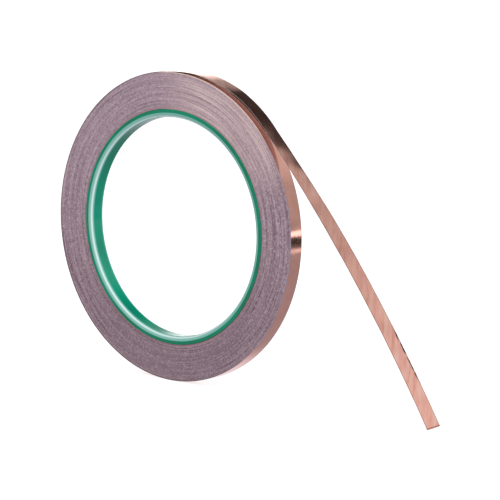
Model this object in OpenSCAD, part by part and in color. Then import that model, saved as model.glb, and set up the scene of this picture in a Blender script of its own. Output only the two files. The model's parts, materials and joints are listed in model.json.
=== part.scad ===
// Copper foil tape roll: a plastic core ring, the wound tape, and a free tail that leaves the
// top of the roll and runs down beside it. The tape is a laminate of copper foil, adhesive and
// a paper liner, with the foil outside and the liner towards the core.
// The bore runs along Y, the front face looks along -Y, +Z is up and the tail hangs towards +X.
// The origin is the middle of the bore, halfway through the width of the tape.

/* [Core ring] */
// Diameter of the bore, a standard 3 inch core
bore_d = 76.2; // [60:0.1:95]
// Thickness of the ring between the bore and the first turn of tape
core_wall = 2.8; // [2:0.1:5]
// Width of the ring along the bore
core_w = 6.35; // [4:0.05:14]
// Radius of the rounded lip at each end of the bore
lip_r = 1.3; // [0.5:0.1:1.9]

/* [Tape] */
// Width of the tape
tape_w = 5.56; // [3.5:0.01:12.7]
// Thickness of the copper foil
foil_t = 0.033; // [0.02:0.001:0.08]
// Thickness of the adhesive film
adhesive_t = 0.025; // [0.015:0.001:0.05]
// Thickness of the paper liner
liner_t = 0.06; // [0.04:0.001:0.1]
// Number of turns wound on the core
turns = 110; // [40:1:160]

/* [Tail] */
// Angle from the top of the roll at which the tail lifts off, towards +X
leave_angle = -2.5; // [-10:0.5:15]
// Angle between the tail and the roll's surface where it lifts off
leave_lift = 4.1; // [3:0.1:12]
// Length of the first part of the tail, which bends around the roll
root_len = 57; // [30:1:70]
// Length of the middle part of the tail
middle_len = 52; // [30:1:70]
// Height of the tip's lowest corner above the lowest point of the roll
tip_lift = 0.05; // [0.05:0.05:20]
// Twist of the tail about its own length, reached over its first half
tail_twist = 13; // [0:1:20]
// Length of the liner's free end, which is peeled back before the tape is used
tab_len = 14; // [8:1:20]

/* [Clearances] */
// Gap in the tape at each bend line, so that the parts turn freely
bend_gap = 0.2; // [0.15:0.05:0.4]
// Gap between the liner's free end and the adhesive that it covers
tab_gap = 0.03; // [0.02:0.01:0.1]

/* [Hidden] */

GREEN = "#00825d";
COPPER = "#c08a80";
GLUE = "#d9c9b8";
PAPER = "#a5908f";
WINDING = "#9a868f";

bore_r = bore_d / 2;
core_r = bore_r + core_wall;
tape_t = foil_t + adhesive_t + liner_t;
roll_r = core_r + turns * tape_t;
// Heights of the layers' faces from the middle of the laminate, outwards
liner_lo = -tape_t / 2;
liner_hi = liner_lo + liner_t;
foil_lo = liner_hi + adhesive_t;
foil_hi = tape_t / 2;
// Angle of the roll that the last turn leaves bare under the root of the tail
bare_angle = 10;

// The tail is a chain of arcs. The first two follow the roll: each row is the angle of the
// roll that the arc passes, and how far it bends. The next two hang nearly straight: each row
// is the arc's length and how far it bends. The last arc runs down to the height of the tip.
ROLL_ARCS = [[22.9, 23.3], [27.9, 30.2]];
HANG_ARCS = [[16, 0], [44, 5.2]];
last_bend = 5.7;
twist_start = 42;
twist_end = 102;
station_step = 1.9;

ROLL_LENS = [for (a = ROLL_ARCS) [roll_r * a[0] * PI / 180, a[1]]];
FIRST_ARCS = concat(ROLL_LENS, HANG_ARCS);

// A pose is [x, z, heading], where the heading is the angle below +X
tail_start = [
    (roll_r - tape_t / 2) * sin(leave_angle),
    (roll_r - tape_t / 2) * cos(leave_angle),
    leave_angle - leave_lift
];

// The pose after going a length s along an arc of length len that bends by bend in all
function along(pose, s, len, bend) =
    let (turn = bend * s / len,
         half = turn / 2,
         chord = abs(half) < 0.001 ? s : s * sin(half) * 180 / (PI * half))
    [pose[0] + chord * cos(pose[2] + half),
     pose[1] - chord * sin(pose[2] + half),
     pose[2] + turn];

// The pose at the start of arc k
function arc_start(arcs, k) =
    k == 0 ? tail_start : along(arc_start(arcs, k - 1), arcs[k - 1][0], arcs[k - 1][0], arcs[k - 1][1]);

// The tail's length up to the start of arc k
function length_before(arcs, k) = k == 0 ? 0 : length_before(arcs, k - 1) + arcs[k - 1][0];

hang_end = arc_start(FIRST_ARCS, len(FIRST_ARCS));
tip_heading = hang_end[2] + last_bend;
tip_drop = (tape_w * sin(tail_twist) + tape_t * cos(tail_twist)) / 2 * cos(tip_heading);
last_len = (hang_end[1] + roll_r - tip_lift - tip_drop) / sin(hang_end[2] + last_bend / 2);
ARCS = concat(FIRST_ARCS, [[last_len, last_bend]]);
STARTS = [for (k = [0 : len(ARCS) - 1]) arc_start(ARCS, k)];
BEFORE = [for (k = [0 : len(ARCS)]) length_before(ARCS, k)];
tail_len = BEFORE[len(ARCS)];

// Distances along the tail at which its parts turn, and at which a layer ends within a part
first_bend = root_len;
second_bend = root_len + middle_len;
tab_start = tail_len - tab_len;
LAYER_ENDS = [tab_start - bend_gap, tab_start];

// The arc that holds the point at a distance s along the tail, and the pose there
function arc_at(s, k = 0) = k == len(ARCS) - 1 || s < BEFORE[k + 1] ? k : arc_at(s, k + 1);
function pose_at(s) = let (k = arc_at(s)) along(STARTS[k], s - BEFORE[k], ARCS[k][0], ARCS[k][1]);

// The twist eases in from twist_start to twist_end
function eased(u) = u <= 0 ? 0 : u >= 1 ? 1 : u * u * (3 - 2 * u);
function twist_at(s) = tail_twist * eased((s - twist_start) / (twist_end - twist_start));

// The point at a distance s along the tail, w across it and h above its middle surface
function tail_point(s, w, h) =
    let (pose = pose_at(s),
         twist = twist_at(s),
         out = w * sin(twist) + h * cos(twist),
         across = w * cos(twist) - h * sin(twist))
    [pose[0] + out * sin(pose[2]), across, pose[1] + out * cos(pose[2])];

// The distances from s0 to s1 at which a layer has a row of points. Stacked layers share them,
// because each stretch between the places where a layer may end is divided by itself.
function stretch(s0, s1) =
    let (steps = ceil((s1 - s0) / station_step))
    [for (i = [1 : steps]) s0 + (s1 - s0) * i / steps];
function stations(s0, s1) =
    let (ends = concat([s0], [for (m = LAYER_ENDS) if (m > s0 && m < s1) m], [s1]))
    concat([s0], [for (i = [1 : len(ends) - 1]) each stretch(ends[i - 1], ends[i])]);

// One layer of the tail from s0 to s1, between the heights lo and hi
module tail_layer(s0, s1, lo, hi) {
    rows = stations(s0, s1);
    half = tape_w / 2;
    points = [
        for (s = rows)
            each [tail_point(s, -half, lo), tail_point(s, half, lo),
                  tail_point(s, half, hi), tail_point(s, -half, hi)]
    ];
    // The outer side is cut along the same diagonal as the inner, so stacked layers meet exactly
    outer = 2;
    sides = [
        for (i = [0 : len(rows) - 2], side = [0 : 3])
            let (a = 4 * i + side,
                 b = 4 * i + (side + 1) % 4)
            each side == outer ? [[a, a + 4, b], [b, a + 4, b + 4]] : [[a, a + 4, b + 4], [a, b + 4, b]]
    ];
    last = len(points) - 4;
    polyhedron(points, concat([[0, 1, 2, 3]], sides, [[last + 3, last + 2, last + 1, last]]));
}

// Turns a shape made around Z so that its axis lies along Y
module lay_on_y() {
    rotate([90, 0, 0]) children();
}

// The ring's section, from the bore outwards, with a quarter round at each end of the bore
module core_section() {
    half = core_w / 2;
    difference() {
        translate([bore_r, -half]) square([core_wall, core_w]);
        for (side = [-1, 1]) translate([bore_r, side * half]) difference() {
            square(2 * lip_r, center = true);
            translate([lip_r, -side * lip_r]) circle(r = lip_r, $fn = 96);
        }
    }
}

module core() {
    color(GREEN) lay_on_y() rotate_extrude($fn = 360) core_section();
}

// The whole winding. Its last turn ends where the tail lifts off, a tape's thickness proud.
module wound_tape() {
    color(WINDING) lay_on_y() difference() {
        rotate_extrude($fn = 360)
            translate([core_r, -tape_w / 2]) square([roll_r - core_r, tape_w]);
        rotate([0, 0, 90 - leave_angle - bare_angle]) rotate_extrude(angle = bare_angle, $fn = 360)
            translate([roll_r - tape_t, -tape_w]) square([1, 2 * tape_w]);
    }
}

module foil_root() {
    color(COPPER) tail_layer(bend_gap, first_bend - bend_gap / 2, foil_lo, foil_hi);
}
module adhesive_root() {
    color(GLUE) tail_layer(bend_gap, first_bend - bend_gap / 2, liner_hi, foil_lo);
}
module liner_root() {
    color(PAPER) tail_layer(bend_gap, first_bend - bend_gap / 2, liner_lo, liner_hi);
}

module foil_middle() {
    color(COPPER) tail_layer(first_bend + bend_gap / 2, second_bend - bend_gap / 2, foil_lo, foil_hi);
}
module adhesive_middle() {
    color(GLUE) tail_layer(first_bend + bend_gap / 2, second_bend - bend_gap / 2, liner_hi, foil_lo);
}
module liner_middle() {
    color(PAPER) tail_layer(first_bend + bend_gap / 2, second_bend - bend_gap / 2, liner_lo, liner_hi);
}

module foil_end() {
    color(COPPER) tail_layer(second_bend + bend_gap / 2, tail_len, foil_lo, foil_hi);
}
module adhesive_end() {
    color(GLUE) tail_layer(second_bend + bend_gap / 2, tail_len, liner_hi, foil_lo);
}
module liner_end() {
    color(PAPER) tail_layer(second_bend + bend_gap / 2, tab_start - bend_gap, liner_lo, liner_hi);
}

// The free end of the liner, which turns away from the adhesive
module liner_tab() {
    color(PAPER) tail_layer(tab_start, tail_len, liner_lo - tab_gap, liner_hi - tab_gap);
}

core();
wound_tape();
foil_root();
adhesive_root();
liner_root();
foil_middle();
adhesive_middle();
liner_middle();
foil_end();
adhesive_end();
liner_end();
liner_tab();
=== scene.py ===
"""Copper foil tape roll: the looks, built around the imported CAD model.

Everything is in metres in the CAD frame: the bore runs along Y, the front face looks along -Y,
+Z is up and the tail hangs towards +X. A distance s runs along the tape, from the line where
the tail lifts off the roll (s = 0) to its tip; before that line s is negative, on the roll.
"""

import json
import math

import bpy
import numpy as np
from mathutils import Matrix, Vector


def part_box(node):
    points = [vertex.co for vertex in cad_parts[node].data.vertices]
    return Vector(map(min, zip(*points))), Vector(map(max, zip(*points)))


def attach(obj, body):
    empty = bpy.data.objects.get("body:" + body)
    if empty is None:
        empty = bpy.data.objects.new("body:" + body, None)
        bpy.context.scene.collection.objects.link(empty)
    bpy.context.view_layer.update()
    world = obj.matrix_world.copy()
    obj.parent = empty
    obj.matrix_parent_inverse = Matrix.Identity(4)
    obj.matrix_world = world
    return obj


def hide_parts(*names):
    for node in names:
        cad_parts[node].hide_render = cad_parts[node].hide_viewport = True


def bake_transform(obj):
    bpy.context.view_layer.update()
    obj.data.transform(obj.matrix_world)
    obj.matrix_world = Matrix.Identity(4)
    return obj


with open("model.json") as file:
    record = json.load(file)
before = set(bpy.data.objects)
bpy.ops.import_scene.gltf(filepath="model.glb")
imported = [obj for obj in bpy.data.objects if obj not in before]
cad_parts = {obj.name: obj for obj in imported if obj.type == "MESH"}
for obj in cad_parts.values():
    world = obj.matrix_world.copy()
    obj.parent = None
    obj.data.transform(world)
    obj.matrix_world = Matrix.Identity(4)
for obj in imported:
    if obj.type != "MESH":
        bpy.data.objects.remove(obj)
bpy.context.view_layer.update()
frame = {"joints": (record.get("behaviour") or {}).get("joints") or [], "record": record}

MM = 0.001
TURN = 2 * math.pi
rng = np.random.default_rng(7)

# ---------------------------------------------------------------- sizes, from the CAD model
_, CORE_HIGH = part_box("core")
WOUND_LOW, WOUND_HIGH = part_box("wound_tape")
MOUNTS = {m["name"]: m for m in frame["record"]["mounts"]}
HINGES = {j["name"]: Vector(j["pos_m"]) for j in frame["joints"]}

bore_r = MOUNTS["core_bore"]["dims"]["r_mm"] * MM
core_r = CORE_HIGH.x
core_half = CORE_HIGH.y
lip_r = core_half - MOUNTS["core_bore"]["dims"]["length_mm"] * MM / 2
roll_r = -WOUND_LOW.z
tape_half = WOUND_HIGH.y
lip_depth = 1.6 * MM
foil_t = 0.033 * MM
adhesive_t = 0.025 * MM
liner_t = 0.060 * MM
tape_t = foil_t + adhesive_t + liner_t
turns = round((roll_r - core_r) / tape_t)
liner_lo = -tape_t / 2
liner_hi = liner_lo + liner_t
foil_lo = liner_hi + adhesive_t
foil_hi = tape_t / 2

# The tail's chain of arcs, each a length and a bend in radians, as in the CAD source
leave_angle = math.radians(-2.5)
leave_lift = math.radians(4.1)
path_r = roll_r - tape_t / 2
last_bend = math.radians(5.7)
tail_twist = math.radians(13)
twist_start = 42 * MM
twist_end = 102 * MM
tip_lift = 0.05 * MM
ARCS = [
    (roll_r * math.radians(22.9), math.radians(23.3)),
    (roll_r * math.radians(27.9), math.radians(30.2)),
    (16 * MM, 0.0),
    (44 * MM, math.radians(5.2)),
]
# The tape curves up off the roll over this distance on either side of s = 0
lift_off = 1.8 * MM
# Past this distance the tail has its full crinkles: a ripple up and down, a rocking of its
# edges, and a slight cup across its width
crinkle_from = 25 * MM
ripple_height = 0.035 * MM
rock_height = 0.03 * MM
cup_depth = 0.03 * MM


# ---------------------------------------------------------------- the tape's path
def along(pose, s, length, bend):
    """The pose (x, z, heading below +X) after going s along an arc that bends by bend in all."""
    turn = bend * s / length
    chord = s * np.sinc(turn / TURN)
    middle = pose[2] + turn / 2
    return pose[0] + chord * np.cos(middle), pose[1] - chord * np.sin(middle), pose[2] + turn


def chain():
    """The arcs, each with its start pose and start distance, the last one down to the tip."""
    x, z = path_r * math.sin(leave_angle), path_r * math.cos(leave_angle)
    pose = (x, z, leave_angle - leave_lift)
    rows, s = [], 0.0
    for length, bend in ARCS:
        rows.append((s, pose, length, bend))
        pose = along(pose, length, length, bend)
        s += length
    across = 2 * tape_half * math.sin(tail_twist) + tape_t * math.cos(tail_twist)
    drop = across / 2 * math.cos(pose[2] + last_bend)
    length = (pose[1] + roll_r - tip_lift - drop) / math.sin(pose[2] + last_bend / 2)
    rows.append((s, pose, length, last_bend))
    return rows, s + length


CHAIN, tail_len = chain()


def raw_pose(s):
    """The tape's middle line before its lift-off is rounded: on the roll, then down the chain."""
    s = np.asarray(s, float)
    angle = leave_angle + s / path_r
    x, z, heading = path_r * np.sin(angle), path_r * np.cos(angle), angle
    for start, pose, length, bend in CHAIN:
        after = s >= start
        ax, az, ah = along(pose, s - start, length, bend)
        x, z, heading = np.where(after, ax, x), np.where(after, az, z), np.where(after, ah, heading)
    return x, z, heading


def tape_pose(s):
    """The tape's middle line, where a cubic rounds the lift-off between roll and tail."""
    s = np.asarray(s, float)
    x, z, heading = raw_pose(s)
    (x0, z0, h0), (x1, z1, h1) = raw_pose(-lift_off), raw_pose(lift_off)
    u = np.clip((s + lift_off) / (2 * lift_off), 0, 1)
    reach = 2 * lift_off
    a, b = 2 * u**3 - 3 * u**2 + 1, -2 * u**3 + 3 * u**2
    c, d = (u**3 - 2 * u**2 + u) * reach, (u**3 - u**2) * reach
    da, dc, dd = 6 * u**2 - 6 * u, (3 * u**2 - 4 * u + 1) * reach, (3 * u**2 - 2 * u) * reach
    cx = a * x0 + b * x1 + c * np.cos(h0) + d * np.cos(h1)
    cz = a * z0 + b * z1 - c * np.sin(h0) - d * np.sin(h1)
    dx = da * (x0 - x1) + dc * np.cos(h0) + dd * np.cos(h1)
    dz = da * (z0 - z1) - dc * np.sin(h0) - dd * np.sin(h1)
    inside = np.abs(s) < lift_off
    turned = np.where(inside, np.arctan2(-dz, dx), heading)
    return np.where(inside, cx, x), np.where(inside, cz, z), turned


def eased(u):
    """A smooth step from 0 at u = 0 to 1 at u = 1."""
    u = np.clip(u, 0, 1)
    return u * u * (3 - 2 * u)


def waves(s, lengths, phases):
    """The mean of several sine waves."""
    return sum(np.sin(TURN * s / a + phase) for a, phase in zip(lengths, phases)) / len(lengths)


def tape_point(s, w, h):
    """Points at distance s, w across the tape and h above its middle surface, crinkles included."""
    s, w, h = np.broadcast_arrays(np.asarray(s, float), w, h)
    x, z, heading = tape_pose(s)
    twist = tail_twist * eased((s - twist_start) / (twist_end - twist_start))
    free = eased(s / crinkle_from)
    side = w / tape_half
    lift = ripple_height * waves(s, (9.1 * MM, 14.7 * MM, 23 * MM), (0.4, 2.1, 4.0))
    rock = rock_height * waves(s, (7.3 * MM, 12.9 * MM, 31 * MM), (1.1, 5.2, 2.7))
    h = h + free * (lift + rock * side - cup_depth * side**2)
    out = w * np.sin(twist) + h * np.cos(twist)
    across = w * np.cos(twist) - h * np.sin(twist)
    return np.stack([x + out * np.sin(heading), across, z + out * np.cos(heading)], -1)


# ---------------------------------------------------------------- mesh helpers
def mark_sharp(mesh, smooth):
    """Marks the edges where a smooth face meets a flat one, so that neither shades the other."""
    edge_of = np.empty(len(mesh.loops), np.int32)
    mesh.loops.foreach_get("edge_index", edge_of)
    counts = np.zeros((2, len(mesh.edges)), np.int32)
    np.add.at(counts, (np.repeat(smooth, 4).astype(int), edge_of), 1)
    sharp = mesh.attributes.new("sharp_edge", "BOOLEAN", "EDGE")
    sharp.data.foreach_set("value", (counts > 0).all(0))


def quad_mesh(name, points, quads, smooth=True, materials=(), material_index=None):
    """An object of quads; smooth and material_index hold one value, or one for each quad."""
    points = np.asarray(points, float).reshape(-1, 3)
    quads = np.asarray(quads, np.int32).reshape(-1, 4)
    mesh = bpy.data.meshes.new(name)
    mesh.vertices.add(len(points))
    mesh.vertices.foreach_set("co", points.ravel())
    mesh.loops.add(quads.size)
    mesh.loops.foreach_set("vertex_index", quads.ravel())
    mesh.polygons.add(len(quads))
    mesh.polygons.foreach_set("loop_start", np.arange(0, quads.size, 4, dtype=np.int32))
    mesh.update(calc_edges=True)
    smooth = np.broadcast_to(smooth, len(quads)).astype(bool)
    mesh.polygons.foreach_set("use_smooth", smooth)
    mark_sharp(mesh, smooth)
    for material in materials:
        mesh.materials.append(material)
    if material_index is not None:
        mesh.polygons.foreach_set("material_index", np.asarray(material_index, np.int32))
    obj = bpy.data.objects.new(name, mesh)
    bpy.context.scene.collection.objects.link(obj)
    return obj


def strip_quads(a, b):
    """Quads between two rows of point numbers, of one length, from a's side to b's."""
    return np.stack([a[:-1], a[1:], b[1:], b[:-1]], -1)


def smoothed_noise(count, window):
    """Smooth random values with a spread of 1, which wander over about window samples."""
    bell = np.hanning(window + 2)[1:-1]
    values = np.convolve(rng.normal(size=count + window), bell, "same")[:count]
    return (values - values.mean()) / values.std()


# ---------------------------------------------------------------- material helpers
def tone(red, green, blue):
    """A colour given as sRGB values from 0 to 255, in the linear values that a shader takes."""
    shares = [value / 255 for value in (red, green, blue)]
    linear = [v / 12.92 if v <= 0.04 else ((v + 0.055) / 1.055) ** 2.4 for v in shares]
    return (*linear, 1.0)


class Nodes:
    """Short calls for making the nodes of one material or world."""

    def __init__(self, tree):
        self.tree = tree
        tree.nodes.clear()

    def give(self, node, key, value):
        """Sets an input of a node to a value, or links it to another node's socket."""
        if isinstance(value, bpy.types.NodeSocket):
            self.tree.links.new(value, node.inputs[key])
        else:
            node.inputs[key].default_value = value

    def add(self, kind, inputs=None, **settings):
        node = self.tree.nodes.new(kind)
        for key, value in settings.items():
            setattr(node, key, value)
        for key, value in (inputs or {}).items():
            self.give(node, key, value)
        return node

    def math(self, operation, *values):
        return self.add("ShaderNodeMath", dict(enumerate(values)), operation=operation).outputs[0]

    def product(self, first, *others):
        for other in others:
            first = self.math("MULTIPLY", first, other)
        return first

    def noise(self, vector, scale, detail=3.0, roughness=0.5):
        inputs = {"Vector": vector, "Scale": scale, "Detail": detail, "Roughness": roughness}
        return self.add("ShaderNodeTexNoise", inputs).outputs["Fac"]

    def stretched_noise(self, vector, along_scale, across_scale, detail=3.0, roughness=0.5):
        """Noise over a place on the tape, with one scale along the tape and one across it."""
        scale = (along_scale, across_scale, 1.0)
        at = self.add("ShaderNodeMapping", {"Vector": vector, "Scale": scale}).outputs[0]
        return self.noise(at, 1.0, detail, roughness)

    def ramp(self, value, low, high, to_low=0.0, to_high=1.0):
        """A smooth step from to_low, where value is low, to to_high, where it is high."""
        inputs = {
            "Value": value, "From Min": low, "From Max": high, "To Min": to_low, "To Max": to_high
        }
        return self.add("ShaderNodeMapRange", inputs, interpolation_type="SMOOTHSTEP").outputs[0]

    def mix(self, factor, a, b):
        """Colour a where factor is 0, and b where it is 1."""
        return self.add("ShaderNodeMix", {0: factor, 6: a, 7: b}, data_type="RGBA").outputs[2]

    def bump(self, height, distance):
        return self.add("ShaderNodeBump", {"Height": height, "Distance": distance}).outputs[0]

    def vector(self, x, y, z):
        return self.add("ShaderNodeCombineXYZ", {0: x, 1: y, 2: z}).outputs[0]

    def parts(self, vector):
        return self.add("ShaderNodeSeparateXYZ", {0: vector}).outputs

    def dot(self, vector, aim):
        node = self.add("ShaderNodeVectorMath", {0: vector, 1: aim}, operation="DOT_PRODUCT")
        return node.outputs["Value"]


def new_material(name):
    """A material, its nodes, and its shader, whose inputs connect() fills."""
    material = bpy.data.materials.new(name)
    material.use_nodes = True
    nodes = Nodes(material.node_tree)
    shader = nodes.add("ShaderNodeBsdfPrincipled")
    nodes.add("ShaderNodeOutputMaterial", {0: shader.outputs[0]})
    return material, nodes, shader


def connect(nodes, shader, **sockets):
    for key, value in sockets.items():
        nodes.give(shader, key.replace("_", " "), value)


def ring_place(nodes):
    """A point on the roll: its distance from the bore's axis, its place, and the place's parts."""
    place = nodes.add("ShaderNodeTexCoord").outputs["Object"]
    xyz = nodes.parts(place)
    flat = nodes.vector(xyz[0], 0.0, xyz[2])
    radius = nodes.add("ShaderNodeVectorMath", {0: flat}, operation="LENGTH").outputs["Value"]
    return radius, place, xyz


def tape_place(nodes):
    """The place on the tape, as a vector (s, w, 0), kept in each tail mesh."""
    return nodes.add("ShaderNodeAttribute", attribute_name="tape_place").outputs["Vector"]


# ---------------------------------------------------------------- materials
def core_material():
    """Green plastic, with painted highlights round each rounded lip: a paler ring and a whiter line
    within it.
    """
    material, nodes, shader = new_material("green_plastic")
    radius, place, xyz = ring_place(nodes)
    cloud = nodes.ramp(nodes.noise(place, 60.0, 4.0), 0.35, 0.65)
    grain = nodes.noise(place, 2600.0, 2.0)
    depth = nodes.math("SUBTRACT", core_half, nodes.math("ABSOLUTE", xyz[1]))
    lip_edge = bore_r + lip_depth
    inside = nodes.ramp(radius, lip_edge + 0.08 * MM, lip_edge - 0.1 * MM)
    # The painted highlight bands are fainter on the back lip
    lip = nodes.math("MULTIPLY", inside, nodes.ramp(xyz[1], -0.5 * MM, 0.5 * MM, 1.0, 0.4))

    def highlight_band(start, full, fading, gone):
        """A painted highlight round the lip, given by four depths below the rim."""
        return nodes.product(nodes.ramp(depth, start, full), nodes.ramp(depth, gone, fading), lip)

    rim = nodes.mix(cloud, tone(0, 124, 90), tone(0, 138, 104))
    wall = nodes.mix(cloud, tone(0, 124, 98), tone(2, 136, 108))
    colour = nodes.mix(inside, rim, wall)
    # Painted highlight: the back of the bore wall turns a lighter teal
    back = nodes.ramp(xyz[1], 1.2 * MM, 2.8 * MM, 0.0, 0.8)
    colour = nodes.mix(back, colour, tone(64, 170, 148))
    # Painted highlight round each lip: a paler band, with a whiter streak in it
    lip_highlight = highlight_band(-0.4 * MM, 0.08 * MM, 0.65 * MM, 1.55 * MM)
    colour = nodes.mix(lip_highlight, colour, tone(130, 190, 178))
    lip_glint = highlight_band(0.1 * MM, 0.4 * MM, 0.5 * MM, 0.85 * MM)
    colour = nodes.mix(lip_glint, colour, tone(214, 238, 234))
    connect(
        nodes, shader, Base_Color=colour, Roughness=nodes.ramp(grain, 0.3, 0.7, 0.16, 0.26),
        Normal=nodes.bump(grain, 0.002 * MM), Specular_IOR_Level=0.3,
    )
    return material


def copper_shading(nodes, shader, place, roughness):
    """Rolled copper foil, with fine lines along the tape. Returns its colour."""
    lines = nodes.stretched_noise(place, 60.0, 7000.0, 4.0, 0.6)
    blotch = nodes.noise(place, 150.0, 5.0, 0.6)
    colour = nodes.mix(nodes.ramp(blotch, 0.3, 0.7), tone(248, 184, 168), tone(255, 196, 180))
    colour = nodes.mix(nodes.ramp(lines, 0.4, 0.7, 0.0, 0.2), colour, tone(214, 150, 134))
    rough = nodes.ramp(blotch, 0.35, 0.75, roughness, roughness + 0.06)
    height = nodes.math("ADD", lines, nodes.math("MULTIPLY", blotch, 6.0))
    connect(nodes, shader, Roughness=rough, Normal=nodes.bump(height, 0.002 * MM), Metallic=1.0)
    return colour


def tail_copper():
    """The tail's foil: brushed at a slant, darker along its edges, and nicked near its end."""
    material, nodes, shader = new_material("copper_foil")
    place = tape_place(nodes)
    s, w, _ = nodes.parts(place)
    colour = copper_shading(nodes, shader, place, 0.12)

    slant = nodes.vector(
        nodes.math("MULTIPLY_ADD", w, 1.4, s), nodes.math("MULTIPLY_ADD", s, -0.2, w), 0.0
    )
    brushed = nodes.stretched_noise(slant, 380.0, 120.0)
    colour = nodes.mix(nodes.ramp(brushed, 0.48, 0.66, 0.0, 0.42), colour, tone(255, 220, 206))
    colour = nodes.mix(nodes.ramp(brushed, 0.48, 0.32, 0.0, 0.5), colour, tone(222, 146, 124))

    # Darker along the edges
    side = nodes.math("ABSOLUTE", w)
    edge = nodes.ramp(side, tape_half - 0.35 * MM, tape_half - 0.1 * MM, 0.0, 0.55)
    colour = nodes.mix(edge, colour, tone(112, 80, 72))

    nicked = nodes.product(
        nodes.ramp(nodes.stretched_noise(place, 420.0, 1800.0), 0.46, 0.54),
        nodes.ramp(w, tape_half - 0.9 * MM, tape_half - 0.45 * MM),
        nodes.ramp(s, tail_len - 38 * MM, tail_len - 34 * MM),
        nodes.ramp(s, tail_len - 14 * MM, tail_len - 20 * MM),
        0.95,
    )
    colour = nodes.mix(nicked, colour, tone(70, 46, 42))

    tip = nodes.ramp(s, tail_len - 0.7 * MM, tail_len - 0.3 * MM, 0.0, 0.75)
    connect(nodes, shader, Base_Color=nodes.mix(tip, colour, tone(170, 96, 78)))
    return material


def roll_copper():
    """The foil of the last turn, smoother than the tail's."""
    material, nodes, shader = new_material("wound_copper")
    _, _, xyz = ring_place(nodes)
    run = nodes.math("MULTIPLY", nodes.math("ARCTAN2", xyz[0], xyz[2]), roll_r)
    colour = copper_shading(nodes, shader, nodes.vector(run, xyz[1], 0.0), 0.07)
    side = nodes.math("ABSOLUTE", xyz[1])
    edge = nodes.ramp(side, tape_half - 0.25 * MM, tape_half - 0.05 * MM, 0.0, 0.4)
    connect(nodes, shader, Base_Color=nodes.mix(edge, colour, tone(130, 100, 92)))
    return material


def edge_material():
    """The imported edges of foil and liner, seen on the sides of the roll."""
    material, nodes, shader = new_material("tape_edges")
    radius, place, _ = ring_place(nodes)
    turn = nodes.math("MULTIPLY", radius, 1 / tape_t)
    slow_scale = (36.0, 36.0, 36.0)
    slow = nodes.add("ShaderNodeVectorMath", {0: place, 1: slow_scale}, operation="MULTIPLY")
    slow_x, _, slow_z = nodes.parts(slow.outputs[0])

    def streaks(per_turn, detail):
        """Noise that runs round the roll, and changes per_turn times from turn to turn."""
        at = nodes.vector(nodes.math("MULTIPLY", turn, per_turn), slow_x, slow_z)
        return nodes.noise(at, 1.0, detail, 0.65)

    def sector(angle, inner, outer, amount):
        """Full within inner degrees of an angle of the roll, none past outer degrees."""
        aim = (math.sin(math.radians(angle)), 0.0, math.cos(math.radians(angle)))
        low, high = math.cos(math.radians(outer)), math.cos(math.radians(inner))
        cosine = nodes.math("DIVIDE", nodes.dot(place, aim), radius)
        return nodes.ramp(cosine, low, high, 0.0, amount)

    # Rings of foil and paper edges
    fine = streaks(1.1, 2.0)
    rings = nodes.ramp(streaks(0.6, 1.0), 0.38, 0.62)
    bands = streaks(0.09, 3.0)
    mottle = nodes.noise(place, 1600.0, 3.0, 0.75)
    colour = nodes.mix(rings, tone(118, 92, 104), tone(196, 170, 180))
    colour = nodes.mix(nodes.ramp(fine, 0.3, 0.7, 0.0, 0.4), colour, tone(178, 152, 164))
    colour = nodes.mix(nodes.ramp(bands, 0.4, 0.65, 0.0, 0.4), colour, tone(160, 136, 150))
    colour = nodes.mix(nodes.ramp(mottle, 0.52, 0.68, 0.0, 0.7), colour, tone(222, 200, 206))
    colour = nodes.mix(nodes.ramp(mottle, 0.48, 0.32, 0.0, 0.75), colour, tone(104, 78, 94))

    # Painted light and shade: paler at the top and the upper right, with painted glints of single
    # turns there, and painted shade at the bottom
    colour = nodes.mix(sector(-15, 10, 100, 0.22), colour, tone(204, 180, 194))
    colour = nodes.mix(sector(30, 5, 48, 0.3), colour, tone(214, 184, 186))
    colour = nodes.mix(sector(180, 10, 100, 0.4), colour, tone(122, 98, 108))
    # Painted highlights: glints of single turns at the upper right
    painted_glints = nodes.ramp(streaks(1.3, 0.0), 0.56, 0.66)
    painted_glints = nodes.math("MULTIPLY", painted_glints, sector(32, 12, 42, 0.8))
    colour = nodes.mix(painted_glints, colour, tone(250, 228, 220))

    # The first turns are pinker. The last turns carry painted shade at the left, a bluer tone at
    # the right, and a painted highlight at the upper right
    inner = nodes.ramp(radius, core_r + 1.1 * MM, core_r + 0.3 * MM, 0.0, 0.45)
    colour = nodes.mix(inner, colour, tone(186, 138, 148))
    # Painted shade at the left and a painted highlight at the upper right of the last turns; bluer
    # at the right
    rim = nodes.ramp(radius, roll_r - 0.55 * MM, roll_r - 0.2 * MM)
    for place_on_rim, rim_tone in (
        (sector(255, 70, 130, 0.8), tone(84, 52, 56)),
        (sector(95, 15, 40, 0.7), tone(160, 154, 186)),
        (sector(22, 20, 32, 0.9), tone(255, 226, 208)),
    ):
        colour = nodes.mix(nodes.math("MULTIPLY", rim, place_on_rim), colour, rim_tone)
    connect(
        nodes, shader, Base_Color=colour, Roughness=nodes.ramp(fine, 0.3, 0.7, 0.42, 0.6),
        Metallic=0.2, Normal=nodes.bump(fine, 0.01 * MM),
    )
    return material


def adhesive_material():
    material, nodes, shader = new_material("adhesive_film")
    haze = nodes.noise(tape_place(nodes), 700.0, 4.0)
    connect(
        nodes, shader, Base_Color=nodes.mix(haze, tone(214, 196, 170), tone(232, 216, 192)),
        Roughness=nodes.ramp(haze, 0.3, 0.7, 0.18, 0.4), Normal=nodes.bump(haze, 0.004 * MM),
    )
    return material


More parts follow.
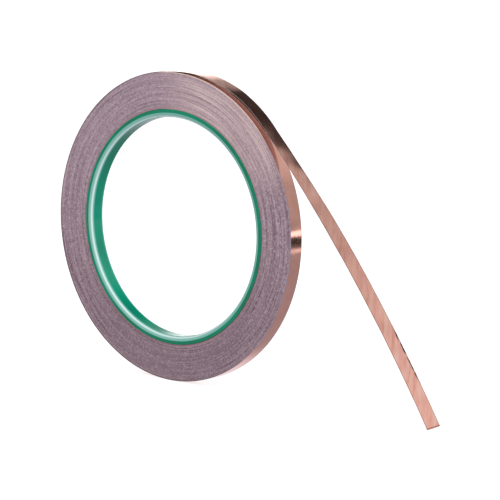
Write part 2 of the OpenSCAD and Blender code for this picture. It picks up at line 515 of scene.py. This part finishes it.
def liner_material():
    material, nodes, shader = new_material("liner_paper")
    fibre = nodes.stretched_noise(tape_place(nodes), 1500.0, 5200.0, 5.0, 0.65)
    colour = nodes.mix(nodes.ramp(fibre, 0.3, 0.7), tone(208, 194, 188), tone(230, 218, 212))
    connect(
        nodes, shader, Base_Color=colour,
        Roughness=nodes.ramp(fibre, 0.3, 0.7, 0.45, 0.6), Normal=nodes.bump(fibre, 0.006 * MM),
    )
    return material


COPPER = tail_copper()
ROLL_COPPER = roll_copper()
EDGES = edge_material()
GREEN = core_material()
GLUE = adhesive_material()
PAPER = liner_material()


# ---------------------------------------------------------------- core ring
def core_ring(segments=480, lip_steps=16, rim_round=0.12 * MM, round_steps=4):
    """The moulded ring, turned from its section: bore wall, rounded lips, flat rims, outer wall."""
    wall = core_half - lip_r
    wall_side = [(bore_r, y) for y in np.linspace(wall, -wall, 9)]
    front = []
    for k in range(1, lip_steps + 1):
        a = math.pi / 2 * k / lip_steps
        front.append((bore_r + lip_depth * (1 - math.cos(a)), -wall - lip_r * math.sin(a)))
    rim_in, rim_out = bore_r + lip_depth, core_r - rim_round
    for share in (0.06, 0.5, 0.94):
        front.append((rim_in + share * (rim_out - rim_in), -core_half))
    for k in range(round_steps + 1):
        a = math.pi / 2 * k / round_steps
        rise = rim_round * (1 - math.cos(a))
        front.append((rim_out + rim_round * math.sin(a), rise - core_half))
    front.append((core_r, -core_half + 2 * rim_round))
    section = np.array(wall_side + front + [(r, -y) for r, y in front[::-1]])
    around = np.arange(segments) * TURN / segments
    points = np.stack([
        np.outer(np.sin(around), section[:, 0]),
        np.broadcast_to(section[:, 1], (segments, len(section))),
        np.outer(np.cos(around), section[:, 0]),
    ], -1)
    number = np.arange(segments * len(section)).reshape(segments, -1)
    following = np.roll(number, -1, 0)
    quads = np.stack([number, np.roll(number, -1, 1), np.roll(following, -1, 1), following], -1)
    return quad_mesh("core_ring", points, quads, True, [GREEN])


core = core_ring()
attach(core, "roll")
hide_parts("core")


# ---------------------------------------------------------------- wound tape
def winding(per_turn=320):
    """One tape wound in a spiral, as a closed skin whose sides step in and out at each turn."""
    count = (turns - 1) * per_turn
    last = count - per_turn
    step = np.arange(count + 1)
    swept = TURN * step / per_turn
    angle = leave_angle - lift_off / path_r - (swept[-1] - swept)

    # The tape wanders sideways, quickly and slowly, and its two edges tilt
    quick = 0.016 * MM * smoothed_noise(count + 1, per_turn // 3)
    slow = 0.022 * MM * smoothed_noise(count + 1, 4 * per_turn)
    wander = np.clip(quick + slow, -0.06 * MM, 0.06 * MM)
    tilt = 0.006 * MM * smoothed_noise(count + 1, per_turn // 2)
    tilt = np.clip(tilt, -0.015 * MM, 0.015 * MM)

    # The outside of the last turn is uneven, and a little lower than the others
    dip = 0.02 * MM + 0.012 * MM * smoothed_noise(count + 1, per_turn // 6)
    inner_r = core_r + tape_t * swept / TURN
    outer_r = inner_r + tape_t - np.clip(dip, 0, 0.05 * MM) * (step >= last)

    def row(radius, y):
        return np.stack([radius * np.sin(angle), y, radius * np.cos(angle)], -1)

    points = np.concatenate([
        row(inner_r, -tape_half + wander - tilt), row(outer_r, -tape_half + wander + tilt),
        row(outer_r, tape_half + wander + tilt), row(inner_r, tape_half + wander - tilt),
    ])
    front_in, front_out, back_out, back_in = np.arange(4 * (count + 1)).reshape(4, -1)
    # Each patch of quads, with whether it is smooth and the number of its material
    skin = [
        # The two sides, and the steps on them from each turn to the next
        (strip_quads(front_in, front_out), False, 0),
        (strip_quads(back_out, back_in), False, 0),
        (strip_quads(front_out[:last + 1], front_in[per_turn:]), False, 0),
        (strip_quads(back_in[per_turn:], back_out[:last + 1]), False, 0),
        # The outside of the last turn, and the inside of the first
        (strip_quads(front_out[last:], back_out[last:]), True, 1),
        (strip_quads(back_in[:per_turn + 1], front_in[:per_turn + 1]), True, 0),
        # The tape's two ends, each with the step beside it
        ([[front_in[-1], back_in[-1], back_out[-1], front_out[-1]]], False, 0),
        ([[front_out[last], back_out[last], back_in[-1], front_in[-1]]], False, 0),
        ([[front_in[0], front_out[0], back_out[0], back_in[0]]], False, 0),
        ([[front_out[0], front_in[per_turn], back_in[per_turn], back_out[0]]], False, 0),
    ]
    quads = np.concatenate([np.asarray(q) for q, _, _ in skin])
    smooth = np.concatenate([np.full(len(q), s) for q, s, _ in skin])
    index = np.concatenate([np.full(len(q), m) for q, _, m in skin])
    return quad_mesh("winding", points, quads, smooth, [EDGES, ROLL_COPPER], index)


wound = winding()
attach(wound, "roll")
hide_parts("wound_tape")


# ---------------------------------------------------------------- tail
def tape_layer(name, s0, s1, lo, hi, material, inset=0.0, station=0.5 * MM, lanes=10):
    """One layer of the tape from s0 to s1, between the heights lo and hi, as a closed slab."""
    s = np.linspace(s0, s1, max(2, math.ceil((s1 - s0) / station)) + 1)
    w = np.linspace(-tape_half + inset, tape_half - inset, lanes + 1)
    along_s, across_w = np.meshgrid(s, w, indexing="ij")
    points = np.concatenate([tape_point(along_s, across_w, h).reshape(-1, 3) for h in (hi, lo)])
    outer = np.arange(along_s.size).reshape(along_s.shape)
    inner = outer + along_s.size

    def grid(n):
        return np.stack([n[:-1, :-1], n[1:, :-1], n[1:, 1:], n[:-1, 1:]], -1).reshape(-1, 4)

    parts = [
        (grid(outer), True), (grid(inner)[:, ::-1], True),
        (strip_quads(inner[:, 0], outer[:, 0]), False),
        (strip_quads(outer[:, -1], inner[:, -1]), False),
        (strip_quads(outer[0], inner[0]), False),
        (strip_quads(inner[-1], outer[-1]), False),
    ]
    quads = np.concatenate([q for q, _ in parts])
    smooth = np.concatenate([np.full(len(q), flag) for q, flag in parts])
    obj = quad_mesh(name, points, quads, smooth, [material])
    place = np.stack([along_s, across_w, np.zeros_like(along_s)], -1).reshape(-1, 3)
    attribute = obj.data.attributes.new("tape_place", "FLOAT_VECTOR", "POINT")
    attribute.data.foreach_set("vector", np.concatenate([place, place]).ravel())
    return obj


def hinge_place(name):
    """The distance s of a hinge that lies on the tape's path."""
    s = np.linspace(0, tail_len, 3001)
    x, z, _ = tape_pose(s)
    return float(s[np.argmin((x - HINGES[name].x) ** 2 + (z - HINGES[name].z) ** 2)])


def about(hinge):
    return hinge - bend_reach, hinge + bend_reach


# The tail turns from one body to the next over these lengths: past the lift-off, and on each side
# of the two bends
peel_reach = 26 * MM
bend_reach = 20 * MM
upper = hinge_place("tail_bend_upper")
lower = hinge_place("tail_bend_lower")
tab = hinge_place("liner_peel")
# The sections meet where both follow one body
cut_root = upper - bend_reach - 2.5 * MM
cut_middle = (upper + lower) / 2
cut_tab = tab - 2 * MM

# Each section of the tail: its name, its ends, the two bodies it bends between, and the
# stretch of the path over which it turns from one to the other
SECTIONS = [
    ("root", -lift_off, cut_root, ("roll", "tail_root"), (0.0, peel_reach)),
    ("middle", cut_root, cut_middle, ("tail_root", "tail_middle"), about(upper)),
    ("end", cut_middle, tail_len, ("tail_middle", "tail_end"), about(lower)),
]
# Each layer of the tape: its name, its two heights, its material, how far its edges stand in
# from the tape's, and its slot
LAYERS = [
    ("foil", foil_lo, foil_hi, COPPER, 0.0, "copper_foil"),
    ("adhesive", liner_hi, foil_lo, GLUE, 0.05 * MM, "adhesive"),
    ("liner", liner_lo, liner_hi, PAPER, 0.0, "liner_paper"),
]

for layer, lo, hi, material, inset, slot in LAYERS:
    for section, s0, s1, bodies, (turn_from, turn_to) in SECTIONS:
        stop = cut_tab if (layer, section) == ("liner", "end") else s1
        piece = tape_layer(f"tail_{layer}_{section}", s0, stop, lo, hi, material, inset)
        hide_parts(f"{layer}_{section}")
        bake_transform(piece)

liner_tab = tape_layer("tail_liner_tab", cut_tab, tail_len, liner_lo, liner_hi, PAPER)
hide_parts("liner_tab")
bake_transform(liner_tab)


# ---------------------------------------------------------------- floor
def floor():
    """A white surface under the roll, which takes only a faint shadow."""
    material, nodes, shader = new_material("pale_floor")
    connect(
        nodes, shader, Base_Color=(0.5, 0.5, 0.5, 1.0), Roughness=0.9, Specular_IOR_Level=0.0,
        Emission_Color=(1.0, 1.0, 1.0, 1.0), Emission_Strength=0.72,
    )
    reach = 4.0
    low = -roll_r
    corners = ((-1, -1), (1, -1), (1, 1), (-1, 1))
    points = [(reach * x, reach * y, low) for x, y in corners]
    obj = quad_mesh("floor", points, [[0, 1, 2, 3]], False, [material])
    obj.visible_glossy = False
    obj.visible_diffuse = False


floor()


# ---------------------------------------------------------------- light
BASE_LIGHT = 0.37
DARKEST = 0.04

# Soft areas of the studio: azimuth and elevation of the middle, how far from it the area is
# still full and where it has faded out, all in degrees, and the strength, below 0 where it darkens
AREAS = [
    (168.0, 17.0, 20, 80, 0.55),
    (-40.8, 10.9, 6, 18, 0.63),
    (-41.5, 9.0, 3, 13.5, 1.3),
    (-61.6, -31.6, 7, 44, 0.6),
    (-2.0, 39.4, 13, 18.3, -0.4),
    (-18.0, 37.0, 4, 13, -0.2),
    (81.6, 21.1, 8, 48.5, 0.52),
    (33.0, 35.9, 2, 18, 0.25),
    (100.0, -25.0, 15, 45, 0.12),
]

# Strips that the outside of the roll mirrors: lowest and highest elevation and softness of the
# edges, in degrees, and strength. They are only there inside STRIP_WINDOW, an area as above
STRIPS = [
    (-5.2, -2.8, 0.35, 1.4),
    (-8.8, -5.5, 0.4, -0.55),
    (-10.8, -8.9, 0.35, -0.25),
    (-12.8, -11.1, 0.35, 0.6),
]
STRIP_WINDOW = (40, -7, 12, 20, 1.0)
# They rise by this share of the way along a level direction
STRIP_SLOPE = 0.2
SLOPE_ALONG = (0.766, -0.643, 0.0)


def studio():
    """White behind the object; around it, a soft studio of light and dark areas."""
    world = bpy.data.worlds.new("studio")
    bpy.context.scene.world = world
    world.use_nodes = True
    nodes = Nodes(world.node_tree)
    heading = nodes.add("ShaderNodeTexCoord").outputs["Generated"]

    def area(azimuth, elevation, inner, outer, strength):
        """Light round a direction, whose azimuth turns from +Y to +X."""
        a, e = math.radians(azimuth), math.radians(elevation)
        aim = (math.sin(a) * math.cos(e), math.cos(a) * math.cos(e), math.sin(e))
        low, high = math.cos(math.radians(outer)), math.cos(math.radians(inner))
        return nodes.ramp(nodes.dot(heading, aim), low, high, 0.0, strength)

    rise = nodes.parts(heading)[2]
    height = nodes.math("MULTIPLY_ADD", nodes.dot(heading, SLOPE_ALONG), -STRIP_SLOPE, rise)
    window = area(*STRIP_WINDOW)

    def step(start, end):
        return nodes.ramp(height, math.sin(math.radians(start)), math.sin(math.radians(end)))

    def strip(low, high, soft, strength):
        """A strip of light between two elevations."""
        rising, falling = step(low - soft, low + soft), step(high + soft, high - soft)
        return nodes.product(rising, falling, nodes.math("MULTIPLY", window, strength))

    level = BASE_LIGHT
    for light in [area(*row) for row in AREAS] + [strip(*row) for row in STRIPS]:
        level = nodes.math("ADD", level, light)
    # Light from below is a little bluer
    tint = nodes.mix(nodes.ramp(rise, -0.1, -0.5), (1.0, 1.0, 1.0, 1.0), (1.0, 1.0, 1.1, 1.0))
    around = nodes.add("ShaderNodeBackground", {0: tint, 1: nodes.math("MAXIMUM", level, DARKEST)})
    white = nodes.add("ShaderNodeBackground", {0: (1.0, 1.0, 1.0, 1.0), 1: 1.0})
    seen = nodes.add("ShaderNodeLightPath").outputs["Is Camera Ray"]
    both = nodes.add("ShaderNodeMixShader", {0: seen, 1: around.outputs[0], 2: white.outputs[0]})
    nodes.add("ShaderNodeOutputWorld", {0: both.outputs[0]})


def softbox(name, place, size, power):
    """A soft lamp that neither the camera nor the copper sees, so it adds no hard highlight."""
    lamp = bpy.data.lights.new(name, "AREA")
    lamp.shape = "RECTANGLE"
    lamp.size, lamp.size_y = size
    lamp.energy = power
    obj = bpy.data.objects.new(name, lamp)
    obj.location = place
    obj.rotation_euler = (-Vector(place)).to_track_quat("-Z", "Y").to_euler()
    obj.visible_camera = False
    obj.visible_glossy = False
    bpy.context.scene.collection.objects.link(obj)


studio()
softbox("key", (0.9, -0.7, 1.2), (0.8, 0.8), 9.0)
softbox("rear", (0.6, 0.9, 0.4), (0.9, 0.7), 7.0)


# ---------------------------------------------------------------- camera
def camera(azimuth=40.749, elevation=9.162, roll=0.897, distance=1.0, lens=208.0):
    """A long lens at the photo's angle, in degrees; its azimuth turns from -Y to +X."""
    aim = Vector((19.97, 15.58, -7.66)) * MM
    a, e, t = (math.radians(v) for v in (azimuth, elevation, roll))
    back = Vector((math.sin(a) * math.cos(e), -math.cos(a) * math.cos(e), math.sin(e)))
    level = Vector((math.cos(a), math.sin(a), 0))
    rise = back.cross(level)
    right = math.cos(t) * level + math.sin(t) * rise
    up = math.cos(t) * rise - math.sin(t) * level
    data = bpy.data.cameras.new("camera")
    data.lens, data.sensor_width = lens, 36.0
    data.clip_start, data.clip_end = 0.01, 50.0
    obj = bpy.data.objects.new("camera", data)
    obj.matrix_world = Matrix((
        (right.x, up.x, back.x, 0), (right.y, up.y, back.y, 0),
        (right.z, up.z, back.z, 0), (0, 0, 0, 1),
    ))
    obj.location = aim + distance * back
    bpy.context.scene.collection.objects.link(obj)
    bpy.context.scene.camera = obj


camera()
bpy.context.scene.view_settings.view_transform = "Standard"
